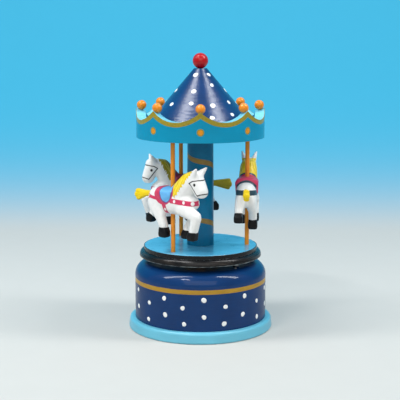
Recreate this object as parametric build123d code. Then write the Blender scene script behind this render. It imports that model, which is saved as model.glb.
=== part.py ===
from build123d import *
import os
from math import acos, asin, cos, pi, radians, sin, sqrt, tan

# A wooden musical carousel. The carousel is wound by turning it backwards, and the
# spring then drives it round while the cylinder plays on the comb.
# Origin: centre of the foot's underside. +Z is up and -Y is the front.

os.makedirs("parts", exist_ok=True)

# ---- turned base ----
foot_radius = 54.0
foot_top_radius = 53.1
foot_height = 8.1
foot_rounding = 2.2
foot_lower_rounding = 1.3
foot_opening_radius = 37.0
cover_radius = 40.8
cover_bottom = 0.5
cover_thickness = 3.0
cover_screw_circle = 39.0
drum_radius = 49.1
drum_top = 49.9
drum_shoulder = 9.9
drum_inner_radius = 45.0
drum_roof_thickness = 6.0
drum_seat_depth = 1.5

# ---- shaft line at the middle ----
arbor_radius = 3.0
bush_radius = 5.0
bush_flange_radius = 8.0
bush_flange_thickness = 1.0
washer_thickness = 1.0
running_fit = 0.05

# ---- platform ----
rim_radius = 45.5
rim_bottom = 54.3
rim_lower_edge = 0.6
rim_nose_top = 59.0
rim_bulge = 3.0
platform_side_radius = 42.3
platform_underside = 56.0
deck_top = 62.3
deck_thickness = 3.0
deck_radius = 41.7
hub_radius = 6.0
hub_flange_radius = 13.0
hub_flange_thickness = 1.6
hub_top = 60.0

# ---- column, poles and canopy ----
column_foot_radius = 10.0
column_head_radius = 9.6
canopy_bottom = 143.0
canopy_thickness = 6.0
crown_radius = 47.2
crown_inner_radius = 40.2
crown_points = 8
crown_valley = 157.1
crown_peak = 164.2
scallop_radius = 25.6
bead_radius = 3.55
bead_circle = 43.2
bead_seat = 163.1
bead_seat_radius = 1.2
roof_base_radius = 40.0
roof_slope_start = 151.8
roof_top_radius = 4.8
roof_top = 193.1
finial_radius = 5.75
finial_centre = 198.6
pole_radius = 1.6
pole_circle = 34.8
pole_angles = (-124.5, -4.5, 115.5)
pole_socket_depth = 4.0
horse_headings = (-42.0, 84.0, 190.0)
horse_lifts = (0.0, 1.8, 0.0)

# ---- horse, in its own side view: forward, height above the deck ----
body_half_width = 7.5
head_half_width = 5.2
leg_offset = 4.6

# ---- musical movement ----
bedplate_thickness = 2.2
bedplate_reach = 41.7
housing_radius = 11.0
housing_height = 16.0
cylinder_axis_drop = 12.7
cylinder_radius = 6.5
cylinder_start = 16.0
cylinder_end = 31.0
pin_height = 0.4
tone_count = 18
tone_pitch = 0.85
drive_module = 0.6
great_wheel_teeth = 42
pinion_teeth = 14
fine_module = 0.4
end_gear_teeth = 36
governor_pinion_teeth = 9
worm_wheel_teeth = 28
pressure_angle = radians(20.0)
tooth_fill = 0.72
cylinder_shaft_radius = 1.2
governor_shaft_radius = 0.8
worm_shaft_radius = 0.6
worm_pitch_radius = 1.2
worm_x = 35.5
fan_radius = 4.2
brake_disc_radius = 1.5

# ---- start and stop lever ----
lever_pivot_x = 18.7
lever_pivot_y = -20.8
lever_tip_reach = 17.5
lever_tip_angle = -7.8
lever_knob_reach = 10.0
lever_knob_angle = -48.0
lever_travel = 15.5
lever_thickness = 1.0
knob_radius = 2.4

# ---- heights that follow from the sizes above ----
drum_ceiling = drum_top - drum_roof_thickness
bedplate_bottom = drum_ceiling - bedplate_thickness
housing_bottom = bedplate_bottom - housing_height
axis_height = bedplate_bottom - cylinder_axis_drop
pinion_pitch_radius = drive_module * pinion_teeth / 2
great_wheel_pitch_radius = drive_module * great_wheel_teeth / 2
mesh_height = axis_height - pinion_pitch_radius
end_gear_pitch_radius = fine_module * end_gear_teeth / 2
governor_offset = -fine_module * (end_gear_teeth + governor_pinion_teeth) / 2
worm_y = governor_offset - fine_module * worm_wheel_teeth / 2 - worm_pitch_radius
washer_bottom = drum_top + bush_flange_thickness
hub_bottom = washer_bottom + washer_thickness
roof_bottom = canopy_bottom + canopy_thickness


def disc(radius, bottom, top, x=0.0, y=0.0):
    """Upright cylinder between two heights."""
    return Pos(x, y, bottom) * Cylinder(
        radius, top - bottom, align=(Align.CENTER, Align.CENTER, Align.MIN)
    )


def axle(radius, start, end, y=0.0, z=axis_height):
    """Cylinder lying along X between two places."""
    lying = Rot(0, 90, 0) * Cylinder(
        radius, end - start, align=(Align.CENTER, Align.CENTER, Align.MIN)
    )
    return Pos(start, y, z) * lying


def block(x_range, y_range, z_range):
    """Box between two corners."""
    size = [high - low for low, high in (x_range, y_range, z_range)]
    corner = (x_range[0], y_range[0], z_range[0])
    return Pos(*corner) * Box(*size, align=(Align.MIN, Align.MIN, Align.MIN))


def polar(radius, angle):
    """Place on a circle round the middle, angle in degrees."""
    return radius * cos(radians(angle)), radius * sin(radians(angle))


def one_solid(shape):
    """The single solid of a finished shape."""
    solids = shape.solids()
    assert len(solids) == 1, f"expected one solid, found {len(solids)}"
    return solids[0]


def save(shape, name, colour):
    """Write one node, as one solid or a group of separate solids."""
    solids = shape.solids()
    node = solids[0] if len(solids) == 1 else Compound(children=list(solids))
    node.label = name
    node.color = Color(*colour)
    export_step(node, f"parts/{name}.step")


def rounded_limb(start, start_radius, end, end_radius):
    """Two balls joined by a cone that touches both; points are (forward, side, up)."""
    path = Vector(*end) - Vector(*start)
    length = path.length
    lean = asin((start_radius - end_radius) / length)
    first = (start_radius * sin(lean), start_radius * cos(lean))
    second = (length + end_radius * sin(lean), end_radius * cos(lean))
    half = (pi / 2 + lean) / 2
    back = (-start_radius * cos(half), start_radius * sin(half))
    swing = (pi / 2 - lean) / 2
    front = (length + end_radius * cos(swing), end_radius * sin(swing))
    outline = [
        ThreePointArc((-start_radius, 0), back, first),
        Line(first, second),
        ThreePointArc(second, front, (length + end_radius, 0)),
        Line((length + end_radius, 0), (-start_radius, 0)),
    ]
    ball_cone = revolve(make_face(outline), Axis.X)
    side = Vector(0, 1, 0) if abs(path.Y) < 0.9 * length else Vector(1, 0, 0)
    place = Plane(origin=start, x_dir=path.normalized(), z_dir=path.cross(side).normalized())
    return place * ball_cone


def involute(angle):
    return tan(angle) - angle


def gear_outline(teeth, module, addendum=0.8, dedendum=1.15):
    """Involute gear face with a tooth on the X axis."""
    pitch_radius = module * teeth / 2
    base_radius = pitch_radius * cos(pressure_angle)
    root_radius = pitch_radius - dedendum * module
    tip_radius = pitch_radius + addendum * module
    half_tooth = tooth_fill * pi / (2 * teeth) + involute(pressure_angle)
    flank_start = max(base_radius, root_radius)
    flank = []
    for step in range(4):
        radius = flank_start + (tip_radius - flank_start) * step / 3
        spread = half_tooth - involute(acos(min(1.0, base_radius / radius)))
        flank.append((radius, spread))
    flank.insert(0, (root_radius, flank[0][1]))
    points = []
    for tooth in range(teeth):
        middle = 2 * pi * tooth / teeth
        for radius, spread in flank:
            points.append((radius * cos(middle - spread), radius * sin(middle - spread)))
        for radius, spread in reversed(flank):
            points.append((radius * cos(middle + spread), radius * sin(middle + spread)))
    return make_face(Polyline(*points, close=True))


def spur_gear(teeth, module, start, end, y=0.0, first_tooth=-90.0):
    """Gear on an axle along X; the first tooth's direction is seen from +X, 0 along +Y."""
    face = Rot(0, 0, first_tooth) * gear_outline(teeth, module)
    face_plane = Plane(origin=(start, y, axis_height), x_dir=(0, 1, 0), z_dir=(1, 0, 0))
    return face_plane * extrude(face, end - start)


def wood_screw(head_radius, shank_radius, head_bottom, head_height, tip, x, y):
    """Pan head below, shank pointing up."""
    head = disc(head_radius, head_bottom, head_bottom + head_height, x, y)
    slot = block(
        (x - head_radius, x + head_radius),
        (y - 0.25, y + 0.25),
        (head_bottom, head_bottom + head_height * 0.4),
    )
    return head - slot + disc(shank_radius, head_bottom + head_height, tip, x, y)


# ---------------------------------------------------------------- base


def base_foot():
    """Turned ring whose side leans out a little towards the bottom."""
    foot = Cone(
        foot_radius, foot_top_radius, foot_height, align=(Align.CENTER, Align.CENTER, Align.MIN)
    )
    foot = fillet(foot.edges().sort_by(Axis.Z)[-1:], foot_rounding)
    foot = fillet(foot.edges().sort_by(Axis.Z)[:1], foot_lower_rounding)
    foot -= disc(foot_opening_radius, 0, foot_height)
    foot -= disc(cover_radius + 0.2, 0, cover_bottom + cover_thickness)
    foot -= disc(drum_radius, foot_height - drum_seat_depth, foot_height)
    for x, y in cover_screw_places():
        foot -= disc(0.9, cover_bottom + cover_thickness, foot_height - drum_seat_depth - 0.6, x, y)
    return one_solid(foot)


def cover_screw_places():
    return [polar(cover_screw_circle, angle) for angle in (30, 150, 270)]


def drum_outside():
    """The drum's turned outside, wall and top together."""
    outside = disc(drum_radius, foot_height - drum_seat_depth, drum_top)
    return fillet(outside.edges().sort_by(Axis.Z)[-1:], drum_shoulder)


def base_drum():
    """The drum's wall, up to the glue line under its top."""
    wall = drum_outside() - disc(drum_radius + 1, drum_ceiling, drum_top)
    return one_solid(wall - disc(drum_inner_radius, 0, drum_ceiling))


def drum_lid():
    """The drum's thick top, which carries the movement."""
    lid = drum_outside() - disc(drum_radius + 1, 0, drum_ceiling)
    lid -= disc(bush_radius, drum_ceiling, drum_top)
    for x, y in bedplate_screw_places():
        lid -= disc(0.9, drum_ceiling, drum_ceiling + 4.5, x, y)
    return one_solid(lid - lever_slot())


def lever_slot():
    """Curved slot in the drum's top for the lever's post."""
    path = CenterArc(
        (lever_pivot_x, lever_pivot_y), lever_knob_reach, lever_knob_angle - 1.5, lever_travel + 3
    )
    opening = extrude(SlotArc(path, 2.6), drum_roof_thickness + 1)
    return Pos(0, 0, drum_ceiling - 0.5) * opening


def bottom_cover():
    cover = disc(cover_radius, cover_bottom, cover_bottom + cover_thickness)
    for x, y in cover_screw_places():
        cover -= disc(1.0, cover_bottom, cover_bottom + cover_thickness, x, y)
        cover -= countersink(x, y)
    return one_solid(cover)


def countersink(x, y):
    sink = Cone(2.0, 1.0, 1.2, align=(Align.CENTER, Align.CENTER, Align.MIN))
    return Pos(x, y, cover_bottom) * sink


def cover_screws():
    top = foot_height - drum_seat_depth - 1.0
    screws = []
    for x, y in cover_screw_places():
        screw = countersink(x, y) + disc(0.9, cover_bottom + 1.2, top, x, y)
        slot = block((x - 1.9, x + 1.9), (y - 0.25, y + 0.25), (cover_bottom, cover_bottom + 0.5))
        screws.append(one_solid(screw - slot))
    return Compound(children=screws)


# ---------------------------------------------------------------- movement, fixed pieces


def arbor_bush():
    bush = disc(bush_radius, bedplate_bottom, drum_top)
    bush += disc(bush_flange_radius, drum_top, drum_top + bush_flange_thickness)
    return one_solid(bush - disc(arbor_radius + running_fit, 0, 100))


def thrust_washer():
    washer = disc(bush_flange_radius - 1, washer_bottom, washer_bottom + washer_thickness)
    return one_solid(washer - disc(arbor_radius + 0.3, 0, 100))


def bedplate_screw_places():
    return [(-10.0, 18.0), (-10.0, -18.0), (36.5, 14.0)]


def rivet_places():
    """Two rivets in the foot of each bracket."""
    inner = [(18.2, -8.5), (18.2, 8.5)]
    outer = [(31.0, -9.5), (31.0, 9.5)]
    frame = [(39.7, -4.2), (39.7, 1.7)]
    return inner + outer + frame


def movement_bedplate():
    plate = block((-15, 42), (-24, 24), (bedplate_bottom, drum_ceiling))
    plate = fillet(plate.edges().filter_by(Axis.Z), 3.0)
    plate &= disc(bedplate_reach, bedplate_bottom, drum_ceiling)
    plate -= disc(bush_radius, bedplate_bottom, drum_ceiling)
    for x, y in bedplate_screw_places():
        plate -= disc(1.0, bedplate_bottom, drum_ceiling, x, y)
    for x, y in rivet_places() + comb_screw_places():
        plate -= disc(0.8, bedplate_bottom, drum_ceiling, x, y)
    plate -= disc(1.5, bedplate_bottom, drum_ceiling, lever_pivot_x, lever_pivot_y)
    return one_solid(plate)


def movement_screws():
    screws = []
    for x, y in bedplate_screw_places():
        head = bedplate_bottom - 1.4
        screws.append(one_solid(wood_screw(2.2, 0.9, head, 1.4, drum_ceiling + 4.0, x, y)))
    return Compound(children=screws)


def spring_housing():
    cup = disc(housing_radius, housing_bottom, bedplate_bottom)
    cup += disc(housing_radius + 1.6, bedplate_bottom - 0.8, bedplate_bottom)
    cup -= disc(housing_radius - 0.8, housing_bottom + 0.8, bedplate_bottom)
    return one_solid(cup - disc(arbor_radius + 0.3, 0, 100))


def mainspring():
    """Flat steel strip coiled from the arbor out to the housing wall."""
    turns = 6
    inner = arbor_radius + 0.7
    outer = housing_radius - 1.4
    strip = 0.35

    def coil(offset):
        points = []
        for step in range(turns * 12 + 1):
            angle = 2 * pi * step / 12
            radius = inner + (outer - inner) * step / (turns * 12) + offset
            points.append((radius * cos(angle), radius * sin(angle)))
        return points

    near = coil(-strip / 2)
    far = coil(strip / 2)
    outline = [Spline(*near), Line(near[-1], far[-1]), Spline(*far), Line(far[0], near[0])]
    height = housing_height - 2.4
    return one_solid(Pos(0, 0, housing_bottom + 1.6) * extrude(make_face(outline), height))


def inner_bracket():
    bracket = block((14.6, 15.8), (-10.5, 10.5), (axis_height - 4.5, bedplate_bottom))
    bracket -= block((14, 17), (-11, -5), (axis_height - 6, bedplate_bottom - 4))
    bracket -= block((14, 17), (5, 11), (axis_height - 6, bedplate_bottom - 4))
    bracket += block((15.8, 20.2), (-10.5, 10.5), (bedplate_bottom - 1.2, bedplate_bottom))
    bracket -= axle(cylinder_shaft_radius + running_fit, 14, 17)
    for x, y in rivet_places()[0:2]:
        bracket -= disc(0.8, bedplate_bottom - 2, drum_ceiling, x, y)
    return one_solid(bracket)


def outer_bracket():
    bracket = block((33.2, 34.4), (-12.0, 11.0), (axis_height - 4.0, bedplate_bottom))
    bracket -= block((33, 35), (4, 12), (axis_height - 5, bedplate_bottom - 4))
    bracket += block((29.4, 33.2), (-12.0, 11.0), (bedplate_bottom - 1.2, bedplate_bottom))
    bracket -= axle(cylinder_shaft_radius + running_fit, 33, 35)
    bracket -= axle(governor_shaft_radius + running_fit, 33, 35, y=governor_offset)
    for x, y in rivet_places()[2:4]:
        bracket -= disc(0.8, bedplate_bottom - 2, drum_ceiling, x, y)
    return one_solid(bracket)


def governor_frame():
    """Side plate with two lugs that carry the worm shaft."""
    plate = block((37.2, 38.4), (-17.5, 3.5), (axis_height - 9.0, bedplate_bottom))
    foot = block((37.2, 41.0), (-6.0, 3.5), (bedplate_bottom - 1.2, bedplate_bottom))
    top_lug = block((33.8, 37.2), (-17.5, -13.6), (axis_height + 8.3, axis_height + 9.4))
    bottom_lug = block((33.8, 37.2), (-17.5, -13.6), (axis_height - 8.0, axis_height - 6.8))
    frame = plate + foot + top_lug + bottom_lug
    frame -= disc(worm_shaft_radius + running_fit, 0, bedplate_bottom - 1, worm_x, worm_y)
    frame -= axle(governor_shaft_radius + running_fit, 37, 39, y=governor_offset)
    for x, y in rivet_places()[4:6]:
        frame -= disc(0.8, bedplate_bottom - 2, drum_ceiling, x, y)
    return one_solid(frame)


def frame_rivets():
    rivets = []
    foot_bottom = bedplate_bottom - 1.2
    for x, y in rivet_places():
        head = disc(1.2, foot_bottom - 0.5, foot_bottom, x, y)
        rivets.append(one_solid(head + disc(0.8, foot_bottom, drum_ceiling, x, y)))
    return Compound(children=rivets)


def comb_screw_places():
    return [(18.5, 19.5), (28.5, 19.5)]


def comb():
    """Steel comb: one tooth for each tone, shorter towards the high notes."""
    first = cylinder_start + 0.2
    last = first + (tone_count - 1) * tone_pitch + 0.5
    plate = block((first - 0.5, last + 0.5), (15.0, 22.5), (axis_height - 0.4, axis_height + 0.4))
    for tone in range(tone_count):
        x = first + tone * tone_pitch
        plate += block((x, x + 0.5), (7.15, 15.5), (axis_height - 0.3, axis_height + 0.3))
        plate -= block((x + 0.5, x + tone_pitch), (14.9, 17.5 - tone * 0.12), (20, 40))
    for x, y in comb_screw_places():
        plate -= disc(0.8, 20, 40, x, y)
    return one_solid(plate)


def comb_block():
    stand = block((15.9, 30.9), (17.6, 22.5), (axis_height + 0.4, bedplate_bottom))
    for x, y in comb_screw_places():
        stand -= disc(0.8, 20, 50, x, y)
    return one_solid(stand)


def comb_screws():
    screws = []
    for x, y in comb_screw_places():
        head = axis_height - 1.6
        screws.append(one_solid(wood_screw(1.5, 0.8, head, 1.2, drum_ceiling - 0.2, x, y)))
    return Compound(children=screws)


def lever_rivet():
    """Shouldered rivet on which the stop lever swings."""
    x, y = lever_pivot_x, lever_pivot_y
    lever_bottom = bedplate_bottom - 0.9 - lever_thickness
    rivet = disc(2.8, lever_bottom - 0.9, lever_bottom - 0.1, x, y)
    rivet += disc(1.5, lever_bottom - 0.2, drum_ceiling, x, y)
    rivet += disc(2.3, bedplate_bottom - 0.8, bedplate_bottom, x, y)
    return one_solid(rivet)


# ---------------------------------------------------------------- movement, turning pieces


def winding_arbor():
    arbor = disc(arbor_radius, mesh_height - 1.8, deck_top + 10.0)
    arbor += disc(4.4, mesh_height - 2.6, mesh_height - 1.8)
    return one_solid(arbor)


def great_wheel():
    """Crown wheel: its teeth stand up round the spring housing."""
    floor = mesh_height - 0.7
    wheel = disc(great_wheel_pitch_radius + 1.4, floor - 1.1, floor)
    tooth_height = 0.7 + 0.8 * drive_module
    half_root = drive_module * pi / 4 * tooth_fill + 0.7 * tan(pressure_angle)
    half_tip = half_root - tooth_height * tan(pressure_angle)
    outline = Polyline(
        (-half_root, -0.2), (half_root, -0.2), (half_root, 0.0), (half_tip, tooth_height),
        (-half_tip, tooth_height), (-half_root, 0.0), close=True,
    )
    start = great_wheel_pitch_radius - 0.7
    across = Plane(origin=(start, 0, floor), x_dir=(0, 1, 0), z_dir=(1, 0, 0))
    tooth = extrude(across * make_face(outline), 1.9)
    teeth = [Rot(0, 0, 360 * (k + 0.5) / great_wheel_teeth) * tooth for k in range(great_wheel_teeth)]
    wheel = wheel.fuse(*teeth)
    return one_solid(wheel - disc(arbor_radius, 0, 100))


def platform_hub():
    hub = disc(hub_radius, hub_bottom, hub_top)
    hub += disc(hub_flange_radius, platform_underside - hub_flange_thickness, platform_underside)
    hub -= disc(arbor_radius, 0, 100)
    for x, y in hub_screw_places():
        hub -= disc(1.0, 50, platform_underside, x, y)
    return one_solid(hub)


def hub_screw_places():
    return [polar(9.8, angle) for angle in (90, 210, 330)]


def hub_screws():
    screws = []
    for x, y in hub_screw_places():
        head = platform_underside - hub_flange_thickness - 1.0
        screws.append(one_solid(wood_screw(1.9, 1.0, head, 1.0, platform_underside + 3.0, x, y)))
    return Compound(children=screws)


def platform_rim():
    """Turned ring: a bullnose with a crisp lower edge, and a low step up to the deck."""
    nose_start = rim_bottom + rim_lower_edge
    nose_middle = rim_radius - rim_bulge
    nose = Pos(nose_middle, nose_start) * Ellipse(rim_bulge, rim_nose_top - nose_start)
    nose &= Pos(0, nose_start) * Rectangle(rim_radius + 1, 20, align=Align.MIN)
    lower = Pos(0, rim_bottom) * Rectangle(rim_radius, rim_lower_edge, align=Align.MIN)
    lower = chamfer(lower.vertices().sort_by(Axis.X)[-2:].sort_by(Axis.Y)[:1], rim_lower_edge * 0.6)
    web = Pos(0, rim_bottom) * Rectangle(nose_middle, rim_nose_top - rim_bottom, align=Align.MIN)
    step = Pos(0, nose_start) * Rectangle(platform_side_radius, deck_top - 0.4 - nose_start, align=Align.MIN)
    profile = nose + lower + web + step
    body = revolve(Plane.XZ * profile, Axis.Z)
    return one_solid(body - disc(deck_radius, 50, deck_top))


def platform_board():
    """Board that carries the ring and the deck; the hub is screwed to it."""
    board = disc(deck_radius, platform_underside, deck_top - deck_thickness)
    board -= disc(hub_radius, 50, deck_top)
    for x, y in hub_screw_places():
        board -= disc(1.0, 50, platform_underside + 3.0, x, y)
    return one_solid(board)


def platform_deck():
    deck = disc(deck_radius, deck_top - deck_thickness, deck_top)
    deck = fillet(deck.edges().sort_by(Axis.Z)[-1:], 0.5)
    deck -= disc(hub_radius, 50, hub_top)
    deck -= disc(arbor_radius, 50, 100)
    for angle in pole_angles:
        deck -= disc(pole_radius, 50, 100, *polar(pole_circle, angle))
    return one_solid(deck)


def centre_column():
    column = Pos(0, 0, deck_top) * Cone(
        column_foot_radius, column_head_radius, canopy_bottom - deck_top,
        align=(Align.CENTER, Align.CENTER, Align.MIN),
    )
    column -= disc(arbor_radius, deck_top, deck_top + 10.0)
    return one_solid(column - disc(arbor_radius, canopy_bottom - 10.0, canopy_bottom))


def roof_dowel():
    return disc(arbor_radius, canopy_bottom - 10.0, roof_bottom + 9.0)


def pole(angle):
    bottom = deck_top - deck_thickness
    return disc(pole_radius, bottom, canopy_bottom + pole_socket_depth, *polar(pole_circle, angle))


def canopy_disc():
    plate = disc(crown_inner_radius, canopy_bottom, roof_bottom)
    plate -= disc(arbor_radius, canopy_bottom, roof_bottom)
    for angle in pole_angles:
        x, y = polar(pole_circle, angle)
        plate -= disc(pole_radius, canopy_bottom, canopy_bottom + pole_socket_depth, x, y)
    return one_solid(plate)


def crown_angles():
    """Directions of the crown's points, one of them facing front."""
    return [-90 + 360 * k / crown_points for k in range(crown_points)]


def crown_ring():
    ring = disc(crown_radius, canopy_bottom, crown_peak)
    ring -= disc(crown_inner_radius, canopy_bottom, crown_peak)
    for angle in crown_angles():
        scallop = Rot(0, 90, 0) * Cylinder(
            scallop_radius, crown_radius + 5, align=(Align.CENTER, Align.CENTER, Align.MIN)
        )
        turned = Rot(0, 0, angle + 180 / crown_points) * scallop
        ring -= Pos(0, 0, crown_valley + scallop_radius) * turned
    for angle in crown_angles():
        x, y = polar(bead_circle, angle)
        ring -= disc(bead_seat_radius, bead_seat, crown_peak + 1, x, y)
        ring -= Pos(x, y, bead_centre()) * Sphere(bead_radius)
        ring -= disc(0.6, bead_seat - 5.0, crown_peak, x, y)
    return one_solid(ring)


def bead_centre():
    return bead_seat + sqrt(bead_radius**2 - bead_seat_radius**2)


def crown_beads():
    beads = []
    for angle in crown_angles():
        x, y = polar(bead_circle, angle)
        bead = Pos(x, y, bead_centre()) * Sphere(bead_radius)
        bead &= disc(bead_radius + 1, bead_seat, bead_seat + 10, x, y)
        beads.append(one_solid(bead - disc(0.6, bead_seat, bead_centre(), x, y)))
    return Compound(children=beads)


def bead_pins():
    pins = []
    for angle in crown_angles():
        pins.append(disc(0.6, bead_seat - 5.0, bead_centre(), *polar(bead_circle, angle)).solid())
    return Compound(children=pins)


def roof_cone():
    roof = disc(roof_base_radius, roof_bottom, roof_slope_start)
    roof += Pos(0, 0, roof_slope_start) * Cone(
        roof_base_radius, roof_top_radius, roof_top - roof_slope_start,
        align=(Align.CENTER, Align.CENTER, Align.MIN),
    )
    roof -= disc(arbor_radius, roof_bottom, roof_bottom + 9.0)
    roof -= disc(1.5, roof_top - 7.0, roof_top)
    return one_solid(roof - Pos(0, 0, finial_centre) * Sphere(finial_radius))


def finial_ball():
    ball = Pos(0, 0, finial_centre) * Sphere(finial_radius)
    return one_solid(ball - disc(1.5, 150, finial_centre))


def finial_peg():
    return disc(1.5, roof_top - 7.0, finial_centre)


# ---------------------------------------------------------------- horses


def horse_place(number):
    """Where a horse's own frame sits: on its pole, near deck height."""
    x, y = polar(pole_circle, pole_angles[number])
    return Pos(x, y, deck_top + horse_lifts[number]) * Rot(0, 0, horse_headings[number])


def leg(*joints):
    """Round limbs through a leg's joints, each given as (forward, side, up, radius)."""
    limbs = []
    for upper, lower in zip(joints, joints[1:]):
        limbs.append(rounded_limb(upper[:3], upper[3], lower[:3], lower[3]))
    return limbs


def horse():
    """Cantering horse, nose along +X, over its own origin; its front legs are bent unalike."""
    trunk = rounded_limb((-12.5, 0, 36.8), 9.2, (8.5, 0, 36.8), 9.9)
    trunk &= block((-40, 40), (-body_half_width, body_half_width), (0, 70))
    neck = rounded_limb((8.0, 0, 42.0), 8.4, (17.5, 0, 54.5), 6.2)
    head = rounded_limb((21.8, 0, 55.4), 5.3, (26.6, 0, 46.2), 4.0)
    front = (neck + head) & block((-40, 40), (-head_half_width, head_half_width), (0, 70))
    animal = trunk + front
    for side in (-1, 1):
        animal += rounded_limb((22.4, side * 3.6, 58.4), 1.9, (25.4, side * 4.9, 63.0), 0.7)
    inner, outer = leg_offset - 1.2, leg_offset
    animal += leg(
        (12.5, -inner, 31.8, 4.8), (26.4, -outer, 28.8, 3.4), (24.3, -outer, 19.0, 2.6),
        (23.0, -outer, 14.8, 3.0),
    )
    animal += leg(
        (12.0, inner, 31.5, 4.7), (15.8, outer, 25.8, 3.3), (10.8, outer, 17.5, 2.6),
        (9.2, outer, 13.0, 3.1),
    )
    animal += leg(
        (-13.0, -inner, 33.5, 6.4), (-8.2, -outer, 25.0, 3.5), (-5.0, -outer, 18.2, 2.6),
        (-4.6, -outer, 13.4, 3.2),
    )
    animal += leg(
        (-14.5, inner, 33.5, 6.2), (-21.4, outer, 28.8, 3.6), (-25.0, outer, 24.8, 2.7),
        (-26.8, outer, 22.0, 3.1),
    )
    animal -= disc(pole_radius, 0, 70)
    return one_solid(animal - horse_tail())


def horse_tail():
    """Brush-shaped tail, let into the rump, that widens towards its end."""
    sections = []
    for forward, height, half_tall, half_wide in (
        (-18.0, 41.2, 1.4, 1.3), (-25.0, 40.9, 1.9, 1.8), (-30.5, 39.8, 3.0, 2.4),
        (-34.5, 38.8, 4.2, 2.8), (-37.0, 38.4, 3.4, 2.2),
    ):
        place = Plane(origin=(forward, 0, height), x_dir=(0, 1, 0), z_dir=(-1, 0, 0))
        sections.append(place * Ellipse(half_wide, half_tall))
    return loft(sections)


# ---------------------------------------------------------------- cylinder, governor, fan, lever


def music_cylinder():
    """Brass cylinder with a pin wherever a tone is plucked."""
    drum = axle(cylinder_radius, cylinder_start, cylinder_end)
    pins = []
    for tone in range(tone_count):
        x = cylinder_start + 0.45 + tone * tone_pitch
        for beat in range(3):
            angle = 360 * ((tone * 7 + beat * 11 + tone * beat * 5) % 32) / 32 + 5.6
            pin = disc(0.16, cylinder_radius - 0.5, cylinder_radius + pin_height)
            pins.append(Pos(x, 0, axis_height) * Rot(angle, 0, 0) * pin)
    drum = drum.fuse(*pins)
    return one_solid(drum - axle(cylinder_shaft_radius, cylinder_start, cylinder_end))


def cylinder_shaft():
    return axle(cylinder_shaft_radius, 11.6, 34.8)


def drive_pinion():
    pinion = spur_gear(pinion_teeth, drive_module, 12.1, 13.5)
    pinion += axle(2.6, 13.5, 14.3)
    return one_solid(pinion - axle(cylinder_shaft_radius, 11, 15))


def end_gear():
    gear = spur_gear(end_gear_teeth, fine_module, 31.6, 32.6)
    gear += axle(2.6, 31.0, 31.6)
    return one_solid(gear - axle(cylinder_shaft_radius, 30, 34))


def governor_shaft():
    """Thin shaft whose overhung end is cut as a small pinion."""
    shaft = axle(governor_shaft_radius, 32.9, 38.3, y=governor_offset)
    teeth = spur_gear(
        governor_pinion_teeth, fine_module, 31.3, 32.9, y=governor_offset, first_tooth=180.0
    )
    return one_solid(shaft + teeth)


def worm_wheel():
    wheel = spur_gear(
        worm_wheel_teeth, fine_module, 35.15, 35.85, y=governor_offset, first_tooth=180.0
    )
    wheel += axle(1.6, 34.6, 35.15, y=governor_offset)
    return one_solid(wheel - axle(governor_shaft_radius, 34, 37, y=governor_offset))


def worm_shaft():
    """Upright shaft with the worm and, above it, a small brake disc."""
    lead = pi * fine_module
    start = axis_height + lead / 4 - 2 * lead
    half_root = lead / 4 * 0.8 + 0.42 * tan(pressure_angle)
    half_tip = lead / 4 * 0.8 - 0.32 * tan(pressure_angle)
    root = worm_pitch_radius - 0.48
    tip = worm_pitch_radius + 0.32
    section = make_face(Polyline(
        (root, -half_root), (tip, -half_tip), (tip, half_tip), (root, half_root), close=True,
    ))
    path = Helix(lead, 4 * lead, worm_pitch_radius)
    thread = Pos(worm_x, worm_y, start) * sweep(Plane.XZ * section, path, is_frenet=True)
    shaft = disc(worm_shaft_radius, axis_height - 17.0, bedplate_bottom - 0.6, worm_x, worm_y)
    core = disc(worm_pitch_radius - 0.42, axis_height - 4.5, axis_height + 5.0, worm_x, worm_y)
    disc_bottom = axis_height + 10.4
    brake = disc(brake_disc_radius, disc_bottom, disc_bottom + 1.6, worm_x, worm_y)
    return one_solid(shaft + core + brake + thread)


def air_fan():
    """Two-bladed fan at the worm shaft's lower end."""
    low = axis_height - 16.0
    high = axis_height - 9.4
    x, y = worm_x, worm_y
    fan = disc(1.2, low, high, x, y)
    fan += block((x - fan_radius, x + fan_radius), (y - 0.25, y + 0.25), (low, high - 1.0))
    return one_solid(fan - disc(worm_shaft_radius, 0, 60, x, y))


def stop_lever():
    """Bent strip on its rivet: one end stops the brake disc, the other carries the post."""
    top = bedplate_bottom - 0.9
    tip = polar(lever_tip_reach - 1.0, lever_tip_angle)
    knob = polar(lever_knob_reach, lever_knob_angle)
    tip_arm = make_hull((Circle(2.4) + Pos(*tip) * Circle(1.0)).edges())
    knob_arm = make_hull((Circle(2.6) + Pos(*knob) * Circle(1.6)).edges())
    flat = extrude(tip_arm + knob_arm, lever_thickness)
    lever = Pos(lever_pivot_x, lever_pivot_y, top - lever_thickness) * flat
    lever -= disc(1.5 + running_fit, 0, 60, lever_pivot_x, lever_pivot_y)
    lever += disc(1.0, top - 0.5, drum_top + knob_radius + 0.3, *lever_knob_place())
    return one_solid(lever)


def lever_knob_place():
    x, y = polar(lever_knob_reach, lever_knob_angle)
    return lever_pivot_x + x, lever_pivot_y + y


def stop_knob():
    x, y = lever_knob_place()
    centre = drum_top + knob_radius + 0.3
    ball = Pos(x, y, centre) * Sphere(knob_radius)
    return one_solid(ball - disc(1.0, drum_top, centre, x, y))


# ---------------------------------------------------------------- write every node

light_blue = (0.30, 0.66, 0.85)
navy = (0.06, 0.15, 0.42)
black = (0.03, 0.03, 0.03)
white = (0.92, 0.92, 0.90)
yellow = (0.90, 0.75, 0.05)
orange = (0.88, 0.48, 0.10)
red = (0.75, 0.06, 0.08)
teal = (0.00, 0.35, 0.55)
cyan = (0.00, 0.55, 0.75)
brass = (0.78, 0.62, 0.25)
steel = (0.62, 0.63, 0.65)
bare_wood = (0.80, 0.62, 0.40)

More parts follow.
